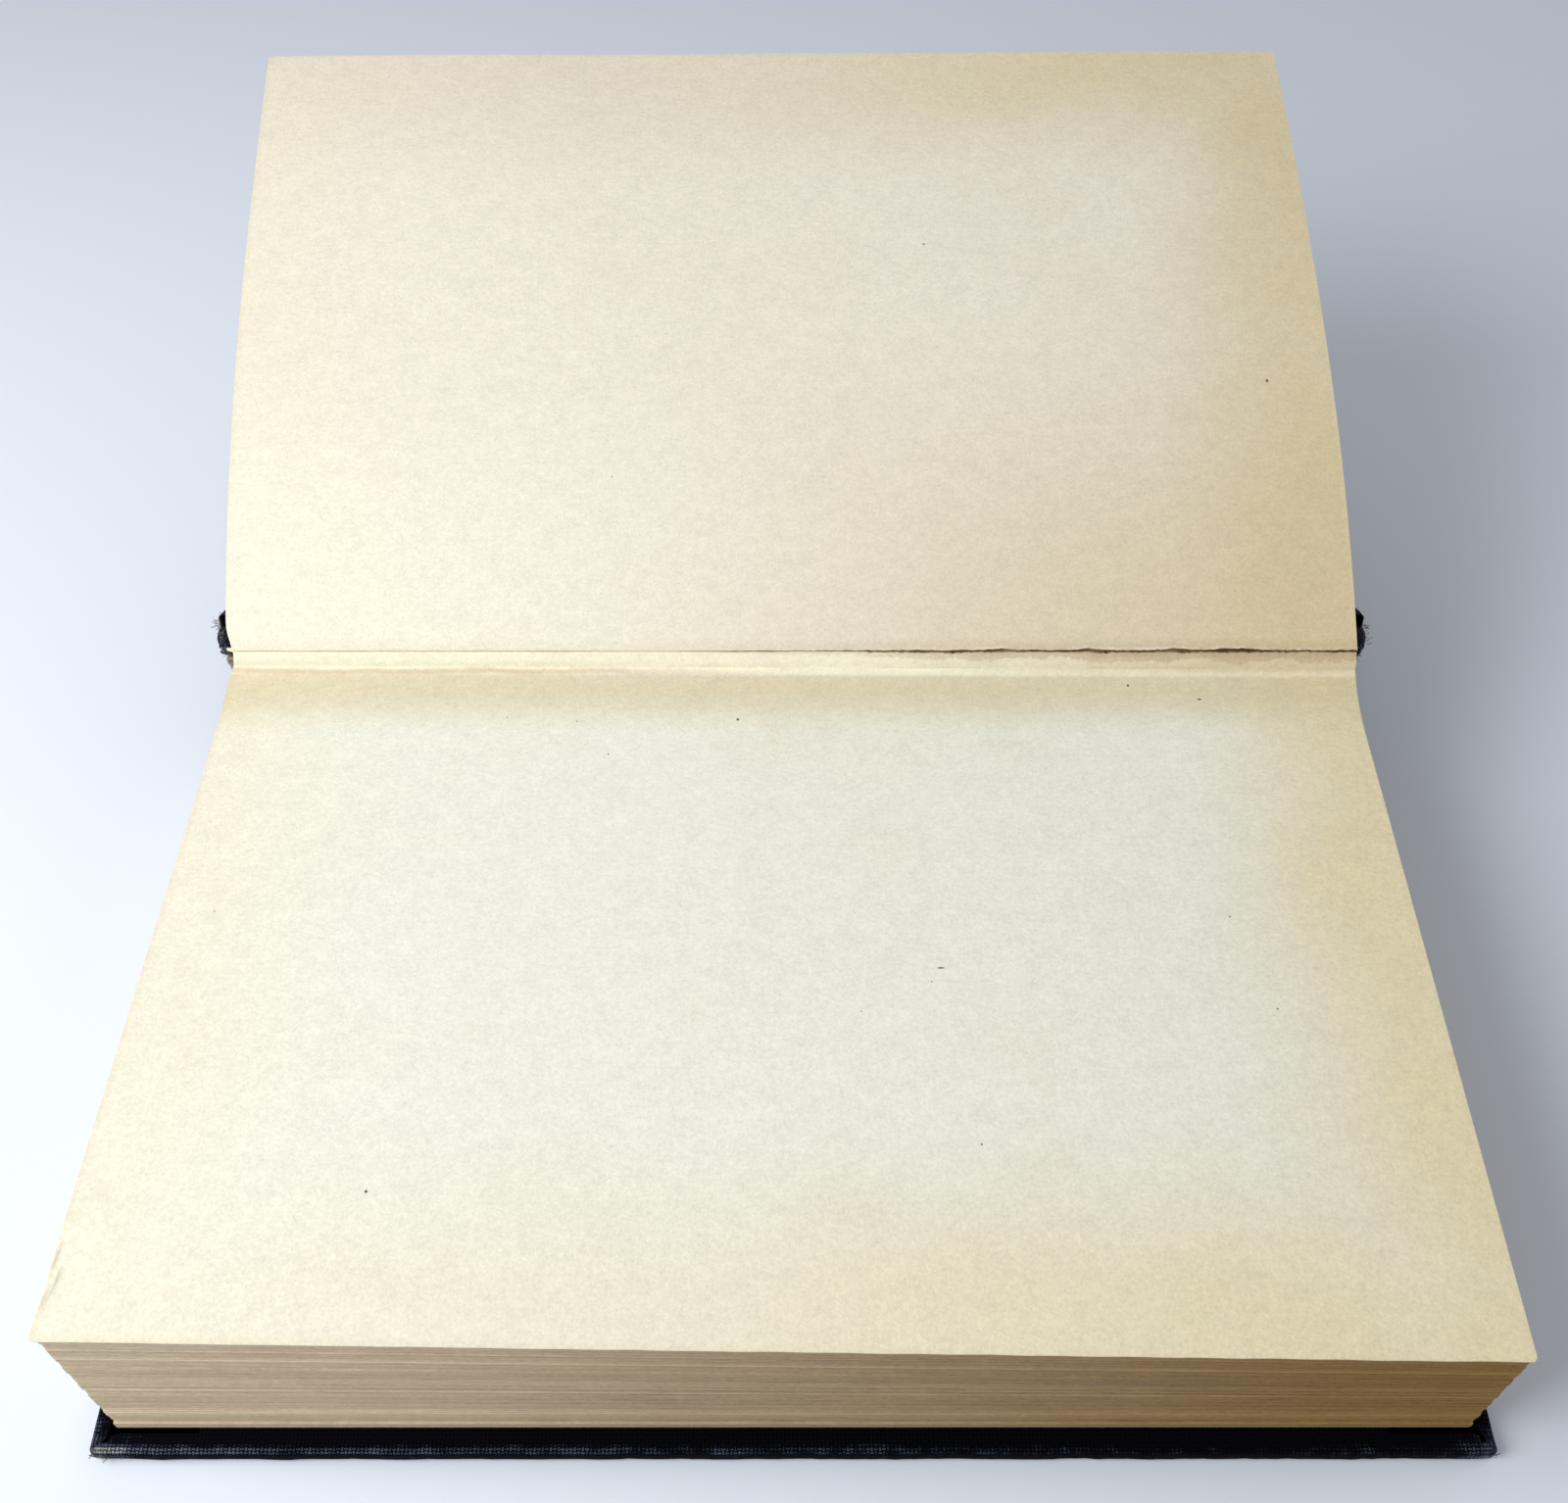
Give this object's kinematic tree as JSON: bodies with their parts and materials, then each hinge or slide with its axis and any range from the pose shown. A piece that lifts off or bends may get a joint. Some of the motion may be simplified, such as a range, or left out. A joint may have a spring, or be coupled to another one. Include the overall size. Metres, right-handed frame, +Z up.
{
  "type": "hardcover book",
  "caption": "Open cloth-bound hardcover book lying on its back cover, with a thick page block, a blank leaf standing from the gutter and boards that swing on cloth joints.",
  "frame": {"origin": "middle of the back cover's outer face, on the surface the book lies on", "axes": "X along the spine, -Y from the spine to the fore edge of the pages, +Z up through the pages"},
  "size_m": [0.1978, 0.2438, 0.0866],
  "materials": {
    "pages": "toned page edges",
    "endpaper": "matt toned paper",
    "cover_cloth": "woven book cloth, worn at the edges",
    "board": "grey board",
    "lining": "open-weave cotton"
  },
  "bodies": {
    "book_block": {"text_block": "pages", "first_leaf": "endpaper", "front_flyleaf": "endpaper", "rear_flyleaf": "endpaper", "spine_lining": "lining", "spine_stiffener": "board", "spine_cloth": "cover_cloth"},
    "front_cover": {"front_board": "board", "front_cloth": "cover_cloth", "front_pastedown": "endpaper"},
    "back_cover": {"back_board": "board", "back_cloth": "cover_cloth", "back_pastedown": "endpaper"}
  },
  "joints": [
    {"name": "front_cover_hinge", "type": "hinge", "parent": "book_block", "child": "front_cover", "pos_m": [0, 0.06516, 0.03578], "axis": [1, 0, 0], "range_deg": [0, 196.67], "deforming": ["front_flyleaf"]},
    {"name": "back_cover_hinge", "type": "hinge", "parent": "book_block", "child": "back_cover", "pos_m": [0, 0.06516, 0.00017], "axis": [1, 0, 0], "range_deg": [0, 175]}
  ]
}
